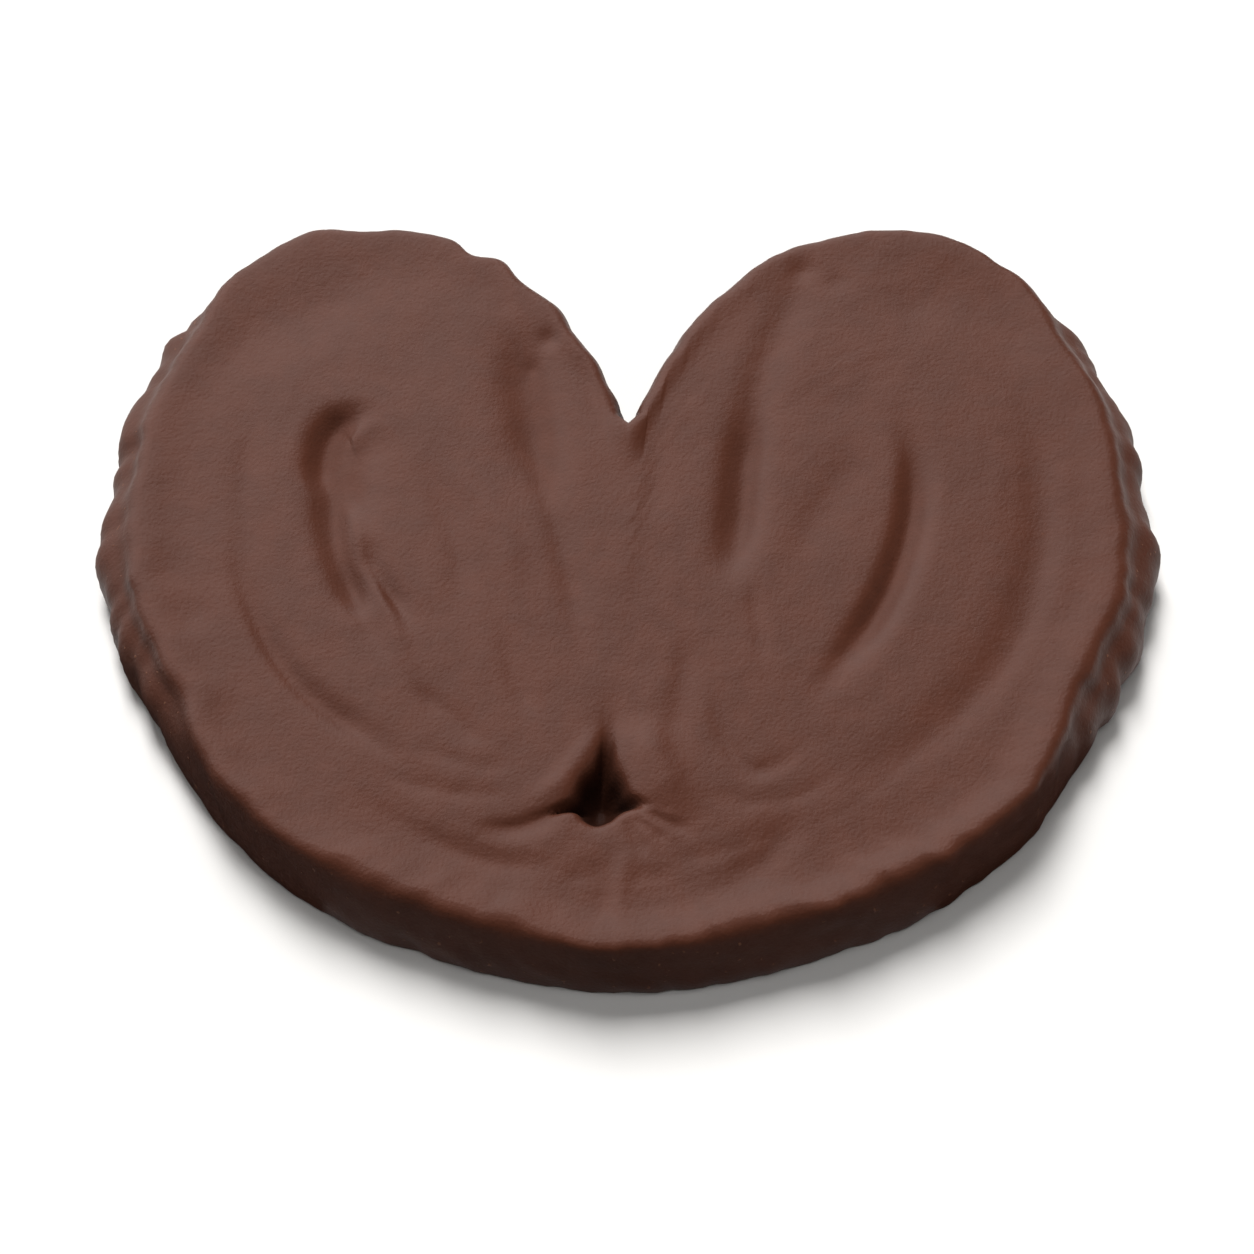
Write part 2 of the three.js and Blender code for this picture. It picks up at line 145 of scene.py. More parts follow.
# The coating sways round the side too. Past ENDS, at the back, the crest of the rim stands further
# out, and past it at the front it sways twice as much.
ENDS = 22                   # distance in y
ENDS_SHARPNESS = 0.2        # of the change there, for each mm
RIM_BACK = 0.3              # how much further out the crest stands at the back
RIM_SWAY = 0.4              # of the crest, in waves as long as the side's
RIM_LUMPS = 0.22            # of the crest, in shorter waves
SIDE_SWAY = 0.3
SIDE_LUMPS = 0.25
FLANK_LUMPS = 1.3           # of the swollen flanks alone
FLANK_LUMP_MEAN = 0.25      # taken off those, so that they stand out and in alike
SIDE_LEAN = (0.9, -1.3)     # shift in x and y for each mm of height, so that waves run down aslant
LUMP_LEAN = (0.5, -0.7)
FLANK_LEAN = (0.4, -0.6)
SIDE_ONSET = 1.25           # the side's own relief is whole after 1 / 1.25 of the rows down
SIDE_ONSET_POWER = 1.5

# Folds between the layers, as the coating shows them: depth, half width on the right and on the
# left of someone who walks along it, then places in plan. A negative depth is a ridge.
FOLDS = [
    # left roll, from its eye outwards
    (1.7, 1.9, 2.4, [(-31.5, 20.6), (-33.4, 21.9), (-35.6, 21.6), (-37, 19.7), (-37.5, 17.3),
                     (-37.5, 14.4), (-36.2, 11.5), (-36.1, 7.7)]),
    (0.8, 4.5, 2.8, [(-31.5, 22), (-33.4, 17), (-33.4, 11), (-31.5, 4)]),
    (1.3, 2.1, 1.8, [(-37.1, 14.3), (-36.4, 9.3), (-35.1, 2.8), (-33, -2.8), (-31.4, -7)]),
    (0.3, 1.3, 1.4, [(-35.1, 2.8), (-33, -2.8), (-31, -7.9), (-27.8, -13.2)]),
    (-0.25, 0.9, 1.2, [(-35.6, 14.9), (-33.9, 8.8), (-31.8, 2.6), (-28.9, -5.3), (-26.5, -12.1),
                       (-23.6, -17.3)]),
    (0.7, 1, 1.3, [(-32.6, 7.7), (-31.6, 3.3), (-30.6, 0.4), (-29, -2.4), (-27.1, -5.3), (-25.7, -9)]),
    (0.25, 1.5, 1.8, [(-26, 18), (-22.5, 9), (-20.5, 1.5), (-20, -9)]),
    (0.75, 1.3, 1.6, [(-48.6, 8.2), (-46.5, -1), (-43, -9.5), (-39.3, -15.1), (-34.6, -19.4),
                      (-29.9, -23), (-22.5, -29.1)]),
    (0.25, 1.8, 2, [(-46.5, 28), (-47, 15.5), (-46.5, 7), (-43, -4.5)]),
    (0.5, 4.5, 5, [(-24, 46), (-35, 41.5), (-41, 37.5), (-47, 33), (-55, 22)]),
    (0.45, 1.8, 2.4, [(-13, 30), (-10.4, 14), (-8.2, 5), (-6.4, -4), (-4.6, -15)]),
    (1.3, 3.4, 3.2, [(-14.3, 38), (-12.6, 28), (-11.6, 20), (-10, 8)]),
    (0.3, 1.5, 1.7, [(-10, 35), (-5, 28), (-2.5, 23.5), (-0.5, 18.5)]),
    (-0.2, 1.6, 1.8, [(-22, 16), (-16, 7.5), (-14.5, 3), (-13.5, -8)]),
    (0.25, 1.3, 1.5, [(-16, -6), (-13.5, -14), (-11, -21)]),
    (0.15, 1.2, 1.2, [(-27, -14), (-21, -20.5), (-15.5, -24)]),
    (0.4, 1.5, 1.6, [(-30, -31), (-23, -35.6), (-18, -37.8), (-13, -38.9), (-7, -38.8)]),
    (0.15, 1.6, 1.6, [(-33, -29), (-27, -34), (-21, -41)]),
    # right roll, from the notch outwards
    (0.15, 1.6, 2, [(4, 22), (3.5, 14), (2.5, 6)]),
    (-0.12, 1.5, 1.5, [(1.5, 16), (0, 5.5), (-2, -7)]),
    (1.5, 2.4, 2.1, [(17.1, 33), (15.3, 21.5), (14.4, 15.5), (13.9, 10), (13, 3.5), (11.5, -3)]),
    (0.45, 2.4, 2.6, [(24, 49), (20, 38), (17.5, 31.5), (15.5, 22)]),
    (0.25, 2.6, 3.2, [(30.5, 27), (27, 15.5), (24, 10), (21.5, 4), (19, -8)]),
    (1.5, 1.6, 2.1, [(33.4, 25), (35, 16), (34.4, 8), (32.3, 0.5), (29.6, -5.5), (26.2, -11),
                     (21, -18.5)]),
    (0.55, 2.9, 2.2, [(46.2, 36), (49.8, 23), (50.4, 15.5), (50.4, 7), (49.4, 0.5), (47.4, -6.5),
                      (44.2, -12.5), (39.9, -18), (34.5, -23.5), (29, -27), (21, -31)]),
    (0.24, 1.5, 2, [(7.6, -7), (6.2, -16.5), (4.8, -26)]),
    (0.28, 1.1, 1.2, [(9.8, -11), (10.6, -20), (12, -24), (14.6, -26.8), (18, -25.8), (24, -20.5)]),
    (0.15, 1, 1.2, [(14.5, 0), (15.5, -7), (16, -14)]),
    (0.4, 5, 4, [(53, 25), (46.5, 35.5), (40, 40), (29, 43)]),
    # round the pit
    (0.5, 0.8, 1.6, [(-7, -31.6), (-10.4, -33.1), (-13.3, -34), (-19.5, -34.4)]),
    (0.4, 2, 2.2, [(20.5, -31.5), (17.5, -36), (14.8, -39), (7.5, -43.5)]),
    (-0.4, 1.3, 1.7, [(-3, -20), (-4.7, -23.5), (-6.8, -26.8), (-9.2, -29.4), (-13.5, -31.8)]),
    (-0.8, 3.4, 2.6, [(0.5, -19), (2, -23.2), (3.3, -26.6), (5, -29.4), (9, -31.8)]),
    (0.3, 0.7, 0.9, [(1.4, -31.8), (4.2, -33.2), (8, -35.5)]),
    (0.2, 0.7, 0.7, [(-0.6, -32.5), (0.8, -35.5), (2.4, -38.5)]),
    (0.18, 0.5, 0.6, [(0.4, -32.6), (2.4, -34.2), (5, -36.4)]),
    (-0.2, 0.5, 0.6, [(1.9, -31.2), (3.8, -32.4), (6.4, -33.2)]),
    (-0.15, 0.5, 0.5, [(1.2, -32.4), (2.6, -33.8), (3.6, -35.6)]),
    (0.17, 1.6, 0.7, [(-2, -35.5), (-2.5, -41.4), (-3.1, -48)]),
    (-0.12, 0.5, 0.7, [(0, -36), (-0.8, -41.4), (-1.7, -50)]),
    (0.14, 1.2, 1.4, [(0, -39.8), (2.5, -40.4), (5.5, -40.2)]),
    (0.14, 1.2, 1.4, [(-8, -40.6), (-5, -40.2), (-2, -39.2)]),
    # fine layers that sweep towards the pit
    (0.15, 1, 1.2, [(-26.5, -15), (-23, -17.8), (-20, -20), (-16.5, -24.5)]),
    (0.12, 1, 1.2, [(-26.5, -23), (-22, -24.9), (-17, -26.5), (-12.5, -25.5)]),
    (0.16, 1, 1.3, [(-31.5, -25), (-26, -28.3), (-19.5, -29.9), (-11.5, -30)]),
    (0.12, 1, 1.4, [(8, -29.5), (13.5, -31), (20, -30), (27, -26)]),
    (0.13, 1, 1.4, [(4, -38.8), (11.6, -37), (18, -34)]),
]
FOLD_STEPS = 8              # straight steps from one place of a fold to the next
FOLD_FADE = 0.35            # share of its length over which a fold fades out at each end

# Small dents: x, y, radius, depth.
DENTS = [
    (-10, 34, 1.3, 0.4), (-12, 30, 1, 0.25), (-52, -6, 2.2, 0.15), (22, 44.5, 1.5, 0.3),
    (26.5, 42.5, 1.6, 0.15), (25.5, 25, 3.5, 0.15), (46.5, -17, 3, 0.15), (35.5, 39, 2.2, 0.12),
]

TOP_WAVE = 0.11             # height of the soft waves over the whole top
LINE_HEIGHT = 0.03          # of the fine lines that follow the layers
LAYERED_WIDTH = 40          # usual distance from the V to the rim
LINE_COUNT = 7
LINE_LENGTHS = (1.6, 4.5)   # shortest and longest distance from one line to the next
LINE_PHASES = 6.3           # about a full turn
LINE_BEND = 2.5             # radians
PATCH_WIDTH = 6             # across the layers, for each radian of a patch's wave
LINE_START = 0.3            # share of the way out over which the lines fade in
LINE_END = 3                # distance from the rim over which they fade out
UNDERSIDE_HOLLOW = 0.25
UNDERSIDE_EDGE = 8          # distance from the foot over which it deepens

COLUMNS = 640               # a multiple of 4
TOP_ROWS = 116
SIDE_ROWS = 22
UNDER_ROWS = 4
OUTLINE_POINTS = 8000
MOUTH_POINTS = 400
OUTLINE_STEP = 0.003        # share of the outline each way, for its direction


def smooth_curve(points, count, closed=False):
    """Catmull-Rom curve: between two points, a cubic whose slopes come from their neighbours."""
    points = np.array(points, float)
    if not closed:
        points = np.vstack([2 * points[0] - points[1], points, 2 * points[-1] - points[-2]])
    spans = len(points) if closed else len(points) - 3
    place = np.linspace(0, spans, count, endpoint=not closed)
    index = np.minimum(place.astype(int), spans - 1)
    t = (place - index)[:, None]
    shift = -1 if closed else 0
    a, b, c, d = (points[(index + shift + i) % len(points)] for i in range(4))
    return 0.5 * (2 * b + (c - a) * t + (2 * a - 5 * b + 4 * c - d) * t**2
                  + (3 * b - a - 3 * c + d) * t**3)


def smooth_step(t):
    """3 t squared minus 2 t cubed, level at 0 and at 1."""
    t = np.clip(t, 0, 1)
    return t * t * (3 - 2 * t)


def bell(x, y, centre_x, centre_y, width):
    """A bell over a place in plan: e to the minus (distance over width) squared."""
    return np.exp(-((x - centre_x) ** 2 + (y - centre_y) ** 2) / width**2)


def past_end(y):
    """0 in the middle, 1 well past ENDS: 1 over (1 plus e to the minus (y - ENDS) times the sharpness)."""
    return 1 / (1 + np.exp(-ENDS_SHARPNESS * (y - ENDS)))


def outline_at(share):
    """Places and outward directions at shares 0 to 1 of the outline's length, clockwise from the
    notch. The outward direction is the way along, from a little before to a little after, turned left."""
    mirrored = [(-x, y) for x, y in HALF_OUTLINE[-2:0:-1]]
    curve = smooth_curve(HALF_OUTLINE + mirrored, OUTLINE_POINTS, closed=True)
    curve = np.vstack([curve, curve[:1]])
    length = np.append(0, np.cumsum(np.hypot(*np.diff(curve, axis=0).T)))

    def point(at):
        at = (at % 1) * length[-1]
        return np.stack([np.interp(at, length, curve[:, i]) for i in (0, 1)], -1)

    along = point(share + OUTLINE_STEP) - point(share - OUTLINE_STEP)
    outward = np.stack([-along[:, 1], along[:, 0]], -1)
    return point(share), outward / np.hypot(*outward.T)[:, None]


def fold_height(x, y, depth, right_width, left_width, path):
    """A trough along a curve: depth times a bell across it, whose half width differs from side to
    side. It fades out smoothly towards both ends."""
    chain = smooth_curve(path, FOLD_STEPS * (len(path) - 1) + 1)
    nearest = np.full(x.shape, np.inf)
    width = np.ones(x.shape)
    reached = np.zeros(x.shape)
    for i in range(len(chain) - 1):
        (ax, ay), (bx, by) = chain[i], chain[i + 1]
        dx, dy = bx - ax, by - ay
        t = np.clip(((x - ax) * dx + (y - ay) * dy) / (dx * dx + dy * dy), 0, 1)
        away = np.hypot(x - ax - t * dx, y - ay - t * dy)
        closer = away < nearest
        on_left = dx * (y - ay) > dy * (x - ax)
        nearest = np.where(closer, away, nearest)
        width = np.where(closer, np.where(on_left, left_width, right_width), width)
        reached = np.where(closer, (i + t) / (len(chain) - 1), reached)
    whole = smooth_step(np.minimum(reached, 1 - reached) / FOLD_FADE)
    return -depth * whole * np.exp(-((nearest / width) ** 2))


def pit_depth(x, y):
    """A funnel with a star-shaped mouth: inwards is 1 minus the distance over the reach of the mouth,
    softened at the edge, and the depth is 1 - (1 - inwards)^steepness. The arms of the mouth fade
    towards the middle of the funnel, and its wall is steepest at the front."""
    mouth = smooth_curve(PIT_MOUTH, MOUTH_POINTS, closed=True) - PIT
    mouth_angle = np.arctan2(mouth[:, 1], mouth[:, 0])
    radius = np.hypot(x - PIT[0], y - PIT[1])
    angle = np.arctan2(y - PIT[1], x - PIT[0])
    reach = np.interp(angle, mouth_angle, np.hypot(*mouth.T), period=2 * math.pi)
    reach = PIT_RADIUS + (reach - PIT_RADIUS) * radius**3 / (radius**3 + PIT_ARM_CUBE)
    inside = 1 - (np.hypot(radius, PIT_TIP) - PIT_TIP) / reach
    inwards = 0.5 * (inside + np.hypot(inside, PIT_EDGE + PIT_EDGE_TURN * np.sin(angle)))
    at_front = np.exp(-PIT_STEEPNESS_FOCUS * (1 + np.sin(angle)))
    steepness = PIT_STEEPNESS + PIT_STEEPNESS_FRONT * at_front
    return PIT_DEPTH * (1 - np.clip(1 - inwards, 0, 1) ** steepness)


# Every random draw comes from this one, in a fixed order.
draw = np.random.default_rng(7)


def make_waves(count, shortest, longest):
    """Wave numbers and phases of sine waves of random direction and length, the lengths in mm."""
    length = draw.uniform(shortest, longest, count)
    heading = draw.uniform(0, 2 * math.pi, count)
    return (2 * math.pi * np.cos(heading) / length, 2 * math.pi * np.sin(heading) / length,
            draw.uniform(0, 2 * math.pi, count))


def waves_at(waves, x, y):
    """Mean of the sines of (kx x + ky y + phase)."""
    kx, ky, phase = (wave.reshape((-1,) + (1,) * x.ndim) for wave in waves)
    return np.sin(kx * x + ky * y + phase).mean(0)


# count, shortest and longest
side_waves = make_waves(8, 5, 14)
lump_waves = make_waves(8, 2.5, 6)
top_waves = make_waves(14, 5, 24)
flank_waves = make_waves(5, 6, 14)


def layer_lines(quarter, distance):
    """Fine lines that follow the layers: the mean of sines of the distance from the V, each bent by a
    slow wave along the roll and patched by another. Both waves close after the four quarters, and
    multiples of one phase keep them apart."""
    total = 0
    lengths = draw.uniform(*LINE_LENGTHS, LINE_COUNT)
    phases = draw.uniform(0, LINE_PHASES, LINE_COUNT)
    around = 0.5 * math.pi * quarter
    for length, turns, phase in zip(lengths, draw.integers(1, 5, LINE_COUNT), phases):
        bent = 2 * math.pi * distance / length + LINE_BEND * np.sin(turns * around + phase) + 5 * phase
        patch = 0.5 + 0.5 * np.sin((turns + 1) * around + distance / PATCH_WIDTH + 3 * phase)
        total = total + np.sin(bent) * patch
    return total / LINE_COUNT


def top_height(x, y, to_crest):
    """Thickness, plus a bell along the rim, minus the folds, dents, pit and front dip, plus waves."""
    z = THICKNESS + RIM_RISE * (1 - RIM_TILT * y) * np.exp(-((to_crest / RIM_SLOPE) ** 2))
    for fold in FOLDS:
        z += fold_height(x, y, *fold)
    for dent_x, dent_y, radius, depth in DENTS:
        z -= depth * bell(x, y, dent_x, dent_y, radius)
    front_y, reach_x, reach_y, depth = FRONT_DIP
    z -= depth * np.exp(-((x / reach_x) ** 2) - ((y - front_y) / reach_y) ** 2)
    return z - pit_depth(x, y) + TOP_WAVE * waves_at(top_waves, x, y)


def pushes(place):
    """How far out the side and the crest of the rim stand at places on the outline. Both add up bells
    at the crags. The notches cut cusps into the side: e to the minus distance over reach."""
    bells = [bell(*place.T, x, y, width) for x, y, width, _, _ in CRAGS]
    side = sum(crag[3] * weight for crag, weight in zip(CRAGS, bells))
    rim = sum(crag[4] * weight for crag, weight in zip(CRAGS, bells))
    for x, y, reach, depth in NOTCHES:
        side = side - depth * np.exp(-np.hypot(np.abs(place[:, 0]) - x, place[:, 1] - y) / reach)
    rim += RIM_BACK * past_end(place[:, 1])
    sway = RIM_SWAY * waves_at(side_waves, *place.T) + RIM_LUMPS * waves_at(lump_waves, *place.T)
    return side, rim + (1 + past_end(-place[:, 1])) * sway


def top_rows(vee, crest, quarter):
    """Straight out from the V to the crest of the rim in plan, at the height of the top with its fine
    lines. The lines fade as e to the minus squares near the V and near the crest."""
    along = np.linspace(0, 1, TOP_ROWS + 1)[:, None, None]
    top = vee + (crest - vee) * along
    to_crest = np.linalg.norm(crest - top, axis=-1)
    along = along[..., 0]
    # 0.01 and 0.1 keep off a division by zero
    faded = np.exp(-((LINE_START / (along + 0.01)) ** 2) - (LINE_END / (to_crest + 0.1)) ** 2)
    lines = LINE_HEIGHT * layer_lines(quarter, LAYERED_WIDTH * along) * faded
    return np.dstack([top, top_height(top[..., 0], top[..., 1], to_crest) + lines])


def side_rows(place, outward, flank, side_push, rim_push, inset, height):
    """Down the side: from the crest's own push to the side's, with waves and lumps, less the inset of
    the section. The change goes with a power of the sine of the way down."""
    def aslant(waves, lean):
        return waves_at(waves, place[:, 0] + lean[0] * height, place[:, 1] + lean[1] * height)

    down = np.linspace(0, 1, SIDE_ROWS + 1)[1:, None]
    changed = np.sin(np.minimum(SIDE_ONSET * down, 1) * math.pi / 2) ** SIDE_ONSET_POWER
    lumps = SIDE_LUMPS * aslant(lump_waves, LUMP_LEAN)
    lumps += FLANK_LUMPS * flank * (np.abs(aslant(flank_waves, FLANK_LEAN)) - FLANK_LUMP_MEAN)
    side_push = side_push + SIDE_SWAY * aslant(side_waves, SIDE_LEAN) + lumps
    out = side_push * changed + rim_push * (1 - changed) - inset
    return np.dstack([place + outward * out[..., None], height])


def under_rows(vee, foot):
    """Straight back to the V underneath, raised by the hollow times 1 minus a bell of the way in."""
    along = np.linspace(1, 0, UNDER_ROWS + 1)[1:, None, None]
    under = vee + (foot - vee) * along
    from_foot = np.linalg.norm(foot - under, axis=-1)
    hollow = UNDERSIDE_HOLLOW * (1 - np.exp(-((from_foot / UNDERSIDE_EDGE) ** 2)))
    return np.dstack([under, hollow])


def palmier_grid():
    """Grid of places, rows by columns. A column runs out from the V between the two eyes over the
    top, the rim and the side, and back underneath. The V goes from one eye down to the pit and up to
    the other as a cosine of the way round, and the side blends from the plain section to the swollen."""
    quarter = 4 * np.arange(COLUMNS) / COLUMNS
    share = np.interp(quarter, [0, 1, 2, 3, 4], [0, EYE_SHARE, 0.5, 1 - EYE_SHARE, 1])
    place, outward = outline_at(share)
    side_push, rim_push = pushes(place)
    flank = smooth_step((np.abs(place[:, 0]) - FLANK[0]) / (FLANK[1] - FLANK[0]))
    plain, swollen = (smooth_curve(side, SIDE_ROWS + 1) for side in (PLAIN_SIDE, SWOLLEN_SIDE))
    inset, height = np.moveaxis(plain[:, None] + flank[:, None] * (swollen - plain)[:, None], -1, 0)
    crest = place + outward * (rim_push - inset[0])[:, None]

    towards_eye = ((1 - np.cos(math.pi * quarter)) / 2)[:, None]
    eye = np.stack([np.where(quarter < 2, EYE[0], -EYE[0]), np.full(COLUMNS, EYE[1])], -1)
    vee = np.array(PIT) + towards_eye * (eye - np.array(PIT))

    top = top_rows(vee, crest, quarter)
    height = height[1:] * top[-1, :, 2]
    side = side_rows(place, outward, flank, side_push, rim_push, inset[1:], height)
    return np.vstack([top, side, under_rows(vee, side[-1, :, :2])])


def closed_mesh(name, grid):
    """A mesh from the grid. Columns close round; the first and last rows are sewn to themselves
    across the V, so that column k meets column N/2 - k on the right and 3N/2 - k on the left."""
    rows, columns, _ = grid.shape
    k = np.arange(columns)
    mate = np.where(k <= columns // 2, columns // 2 - k, 3 * columns // 2 - k)
    number = np.arange(rows * columns).reshape(rows, columns)
    number[0] = np.minimum(k, mate)
    number[-1] = number[-1, 0] + np.minimum(k, mate)
    following = np.roll(number, -1, axis=1)
    quads = np.stack([number[:-1], following[:-1], following[1:], number[1:]], -1).reshape(-1, 4)
    used, corners = np.unique(quads, return_inverse=True)
    corners = corners.reshape(-1).astype(np.int32)
    mesh = bpy.data.meshes.new(name)
    mesh.vertices.add(len(used))
    mesh.vertices.foreach_set("co", grid.reshape(-1, 3)[used].astype(np.float32).ravel())
    mesh.loops.add(len(corners))
    mesh.loops.foreach_set("vertex_index", corners)
    mesh.polygons.add(len(quads))
    mesh.polygons.foreach_set("loop_start", np.arange(0, len(corners), 4, dtype=np.int32))
    mesh.polygons.foreach_set("use_smooth", np.ones(len(quads), bool))
    mesh.update()
    mesh.validate()
    return mesh


grid = palmier_grid()
low, high = (np.array(corner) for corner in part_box("palmier"))
grid_low, grid_high = grid.reshape(-1, 3).min(0), grid.reshape(-1, 3).max(0)
fitted = (grid[..., :2] - (grid_low + grid_high)[:2] / 2) * (high - low)[:2] / (grid_high - grid_low)[:2]
fitted += (low + high)[:2] / 2
grid = np.dstack([fitted, low[2] + grid[..., 2] / MM_PER_METRE])
palmier = bpy.data.objects.new("chocolate_palmier", closed_mesh("chocolate_palmier", grid))
bpy.context.collection.objects.link(palmier)

# Milk chocolate, set with a soft sheen. Colours are linear, sizes and heights are in metres.
MILK_DEEP = (0.053, 0.0163, 0.0088, 1)
MILK_WARM = (0.0605, 0.0186, 0.0101, 1)
# Painted shade: a near-black brown for the deep pit, standing in for the shade that falls inside it.
PIT_PAINTED_SHADE = (0.02, 0.0066, 0.0038, 1)
SPECK_TAN = (0.12, 0.045, 0.022, 1)
WIDE_MOTTLE, FINE_MOTTLE = 0.009, 0.0022
MOTTLE_MIX = 0.6                    # share of the wide one
MOTTLE_RANGE = (0.35, 0.65)         # the noise's values where each of the two browns is pure
RIPPLE, GRAIN, SPECK = 0.0024, 0.00045, 0.00065
RIPPLE_MIX = 0.55                   # share of the ripples in the relief; the grain has the rest
SPECK_RELIEF = 0.5
ROUGHNESS = 0.4
GRAIN_ROUGHNESS = 0.1               # added where the grain stands up
SIDE_ROUGHNESS = 0.1                # added on the side
SPECK_PEAKS = (0.79, 0.83)          # only the peaks of the noise between these are specks
SKIN_DEPTH = 0.00017                # of the relief
BUMP_STRENGTH = 0.8
CHOCOLATE_IOR = 1.38
PIT_HEIGHTS = (0.0098, 0.006)       # the pit's painted shade sets in between these heights
PIT_REACH = (0.009, 0.007)          # and between these distances from its middle
SIDE_HEIGHTS = (0.0096, 0.009)      # the side's finish sets in between these heights
SPECKED_REACH = (0.043, 0.047)      # past these distances from the middle it has specks


class Shade:
    """A socket of a material's nodes, used in plain arithmetic: each operator adds a Math node."""

    def __init__(self, tree, socket=None):
        self.tree = tree
        self.socket = socket

    def node(self, kind, settings=None, inputs=None, output=0):
        """Adds a node: settings first, then the value or link of each input. Gives one output."""
        made = self.tree.nodes.new(kind)
        for name, value in (settings or {}).items():
            setattr(made, name, value)
        for name, value in (inputs or {}).items():
            if isinstance(value, Shade):
                self.tree.links.new(value.socket, made.inputs[name])
            else:
                made.inputs[name].default_value = value
        return Shade(self.tree, made.outputs[output] if made.outputs else None)

    def maths(self, operation, first, second):
        return self.node("ShaderNodeMath", {"operation": operation}, {0: first, 1: second})

    def __add__(self, other):
        return self.maths("ADD", self, other)

    __radd__ = __add__

    def __mul__(self, other):
        return self.maths("MULTIPLY", self, other)

    __rmul__ = __mul__

    def between(self, start, end):
        """0 before start, 1 past end, smooth between. Start may be the higher."""
        return self.node("ShaderNodeMapRange", {"interpolation_type": "SMOOTHSTEP"},
                         {"Value": self, "From Min": start, "From Max": end})

    def blend(self, first, second):
        """The colour first where this is 0, second where it is 1."""
        return self.node("ShaderNodeMix", {"data_type": "RGBA"}, {0: self, 6: first, 7: second}, 2)


def new_material(name):
    """An empty node material, and a Shade that adds nodes to it."""
    material = bpy.data.materials.new(name)
    material.use_nodes = True
    material.node_tree.nodes.clear()
    return material, Shade(material.node_tree)


def chocolate_finish():
    """A mottled brown with shallow ripples and a fine grain, with painted shade in the pit. Noise is cut
    at two levels for the mottling, and at its peaks for a few light specks on the side."""
    material, shade = new_material("milk_chocolate")
    place = shade.node("ShaderNodeTexCoord", output="Object")

    def noise(size, detail):
        """Noise whose features are about size metres across."""
        return shade.node("ShaderNodeTexNoise",
                          inputs={"Vector": place, "Scale": 1 / size, "Detail": detail})

    def length(vector):
        return shade.node("ShaderNodeVectorMath", {"operation": "LENGTH"}, {0: vector}, 1)

    mottle = noise(WIDE_MOTTLE, 3) * MOTTLE_MIX + noise(FINE_MOTTLE, 2) * (1 - MOTTLE_MIX)
    colour = mottle.between(*MOTTLE_RANGE).blend(MILK_DEEP, MILK_WARM)
    height = shade.node("ShaderNodeSeparateXYZ", None, {"Vector": place}, 2)
    off_pit = shade.node("ShaderNodeVectorMath", {"operation": "MULTIPLY_ADD"}, {
        0: place, 1: (1, 1, 0), 2: (-PIT[0] / MM_PER_METRE, -PIT[1] / MM_PER_METRE, 0)})
    # Painted shade: below the rim and near the pit's middle the colour turns to the painted shade of the
    # funnel.
    hollow = height.between(*PIT_HEIGHTS) * length(off_pit).between(*PIT_REACH)
    colour = hollow.blend(colour, PIT_PAINTED_SHADE)
    side = height.between(*SIDE_HEIGHTS)
    specks = noise(SPECK, 0).between(*SPECK_PEAKS) * side * length(place).between(*SPECKED_REACH)
    colour = specks.blend(colour, SPECK_TAN)
    grain = noise(GRAIN, 2)
    relief = noise(RIPPLE, 3) * RIPPLE_MIX + grain * (1 - RIPPLE_MIX) + specks * SPECK_RELIEF
    bump = shade.node("ShaderNodeBump", None,
                      {"Strength": BUMP_STRENGTH, "Distance": SKIN_DEPTH, "Height": relief})
    roughness = grain * GRAIN_ROUGHNESS + side * SIDE_ROUGHNESS + ROUGHNESS
    skin = shade.node("ShaderNodeBsdfPrincipled", None,
                      {"Base Color": colour, "Roughness": roughness, "IOR": CHOCOLATE_IOR,
                       "Normal": bump})
    shade.node("ShaderNodeOutputMaterial", None, {"Surface": skin})
    return material


palmier.data.materials.append(chocolate_finish())
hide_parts("palmier")
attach(palmier, "root")


# ---- Floor and light ----
# A matt white tabletop. One strip softbox stands high behind the palmier and throws its short,
# soft shadow forwards. A dim lamp overhead and a dim card on either side lift the folds and the
# flanks, and a wide screen behind shows only as the sheen on the chocolate.
FLOOR_REACH = 4                     # metres
SHEEN_RADII = (0.0665, 0.0535)      # straight in front, the sheen shows the floor only this far
TURN = math.radians(2.5)            # step of the floor's rings
FULL_TURN = 144                     # steps all the way round
FRONT_TURNS = (-69, -50, -22, -9)   # in such steps: left, middle and right of the front, and back
CENTRE, EDGE, FAR = 0.01, 1, 2      # shares of the way out: near the middle, the ellipse, the end
MATT_WHITE = (0.63, 0.618, 0.602, 1)
WORLD_STRENGTH = 0.05


def floor_part(name, turns, shares):
    """Part of the floor: up to share 1 that share of the ellipse, and past it the whole ellipse plus
    a circle of the floor's reach times share - 1."""
    turns, shares = np.meshgrid(TURN * np.arange(turns[0], turns[1] + 1), shares)
    near, far = np.minimum(shares, 1), np.maximum(shares - 1, 0) * FLOOR_REACH
    x = (SHEEN_RADII[0] * near + far) * np.cos(turns)
    y = (SHEEN_RADII[1] * near + far) * np.sin(turns)
    number = np.arange(x.size).reshape(x.shape)
    quads = np.stack([number[:-1, :-1], number[1:, :-1], number[1:, 1:], number[:-1, 1:]], -1)
    places = np.stack([x.ravel(), y.ravel(), np.zeros(x.size)], -1)
    mesh = bpy.data.meshes.new(name)
    mesh.from_pydata(places.tolist(), [], quads.reshape(-1, 4).tolist())
    part = bpy.data.objects.new(name, mesh)
    bpy.context.collection.objects.link(part)
    return part


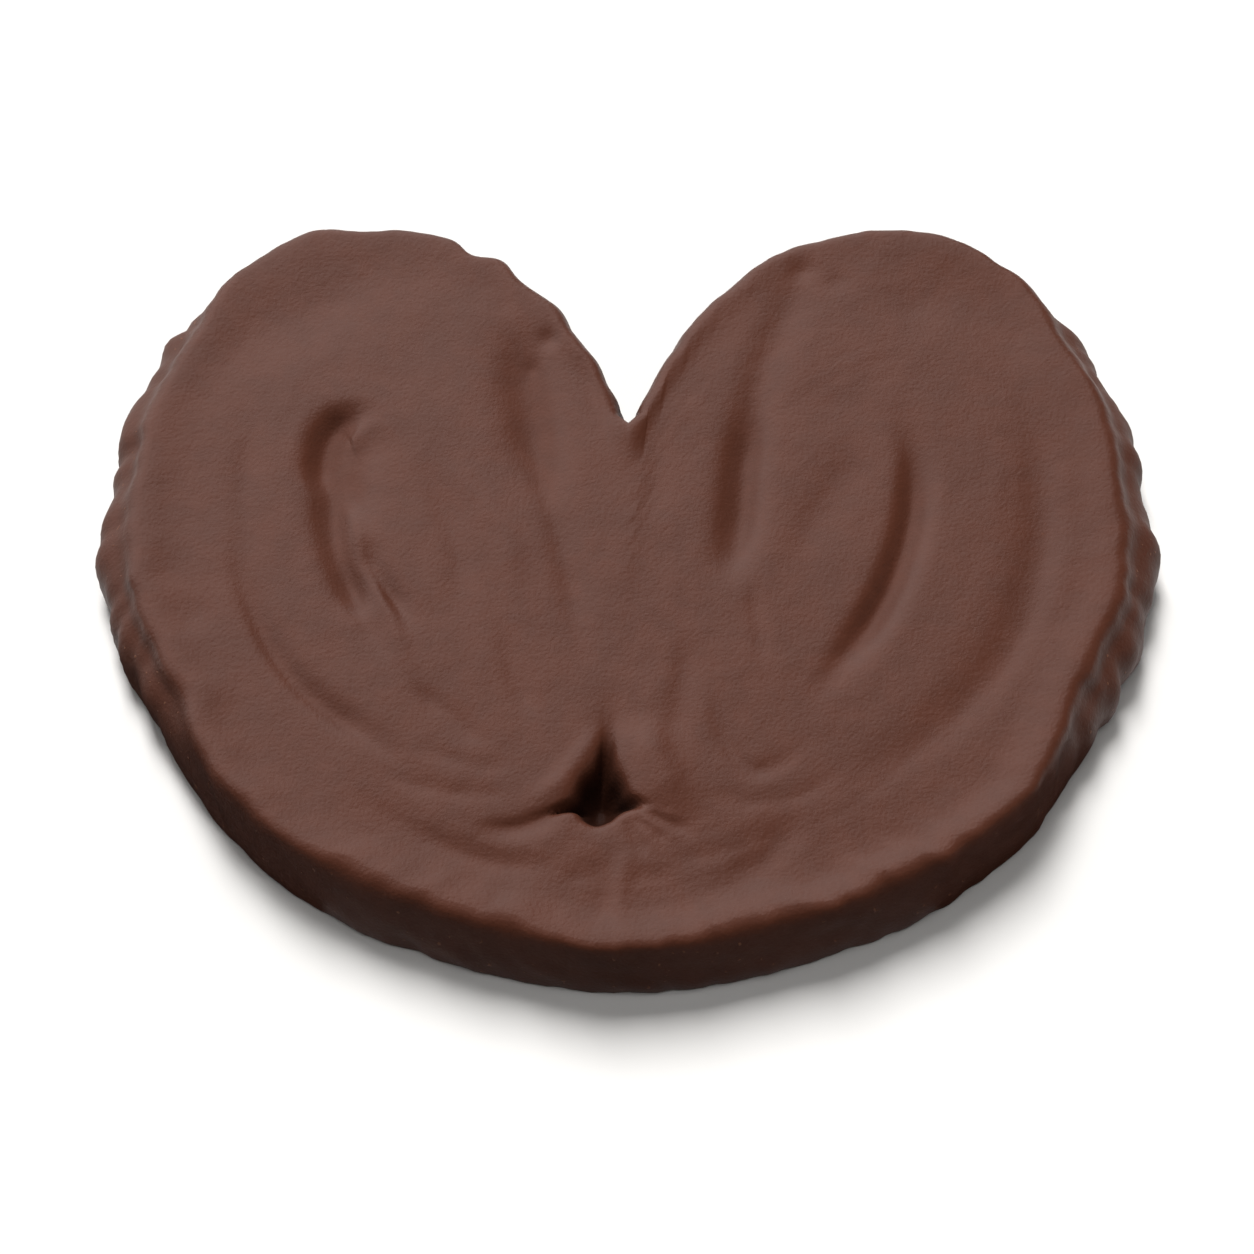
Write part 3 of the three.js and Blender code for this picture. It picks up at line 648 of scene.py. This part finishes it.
left, middle, right, back = FRONT_TURNS
floor_parts = [
    floor_part("floor_back", (back, left + FULL_TURN), (CENTRE, EDGE, FAR)),
    floor_part("floor_middle", (middle, right), (CENTRE, EDGE)),
    floor_part("floor_left", (left, middle), (CENTRE, EDGE, FAR)),
    floor_part("floor_right", (right, back), (CENTRE, EDGE, FAR)),
    floor_part("floor_front", (middle, right), (EDGE, FAR)),
]
# The outer parts in front are kept out of the sheen, so that the front side stays dark.
for part in floor_parts[2:]:
    part.visible_glossy = False


def floor_finish():
    """Plain matt white, with no sheen at all."""
    material, shade = new_material("matt_white")
    matt = shade.node("ShaderNodeBsdfPrincipled", None,
                      {"Base Color": MATT_WHITE, "Roughness": 1, "Specular IOR Level": 0})
    shade.node("ShaderNodeOutputMaterial", None, {"Surface": matt})
    return material


matt_white = floor_finish()
for part in floor_parts:
    part.data.materials.append(matt_white)


def softbox(name, azimuth, elevation, distance, size, power, sheen=False):
    """A flat rectangular lamp that faces the origin; azimuth is in degrees clockwise from behind.
    It shows in the sheen alone, or in all but the sheen."""
    lamp = bpy.data.objects.new(name, bpy.data.lights.new(name, "AREA"))
    bpy.context.collection.objects.link(lamp)
    lamp.data.shape = "RECTANGLE"
    lamp.data.size, lamp.data.size_y = size
    lamp.data.energy = power
    turn, rise = math.radians(azimuth), math.radians(elevation)
    lamp.location = (distance * math.sin(turn) * math.cos(rise),
                     distance * math.cos(turn) * math.cos(rise),
                     distance * math.sin(rise))
    lamp.rotation_euler = (rise - math.pi / 2, 0, -turn)
    lamp.visible_glossy = sheen
    lamp.visible_diffuse = not sheen


softbox("strip", azimuth=-13, elevation=56, distance=3, size=(0.9, 1.7), power=160)
softbox("top", azimuth=180, elevation=82, distance=3, size=(1.6, 1.6), power=19)
softbox("left card", azimuth=-105, elevation=15, distance=2, size=(1, 0.6), power=6.5)
softbox("right card", azimuth=100, elevation=15, distance=2, size=(1, 0.6), power=9)
softbox("screen", azimuth=-30, elevation=38, distance=2, size=(3.6, 2.5), power=65, sheen=True)

world = bpy.data.worlds.new("studio")
world.use_nodes = True
world.node_tree.nodes["Background"].inputs["Color"].default_value = (1, 1, 1, 1)
world.node_tree.nodes["Background"].inputs["Strength"].default_value = WORLD_STRENGTH
world.cycles_visibility.glossy = False
bpy.context.scene.world = world
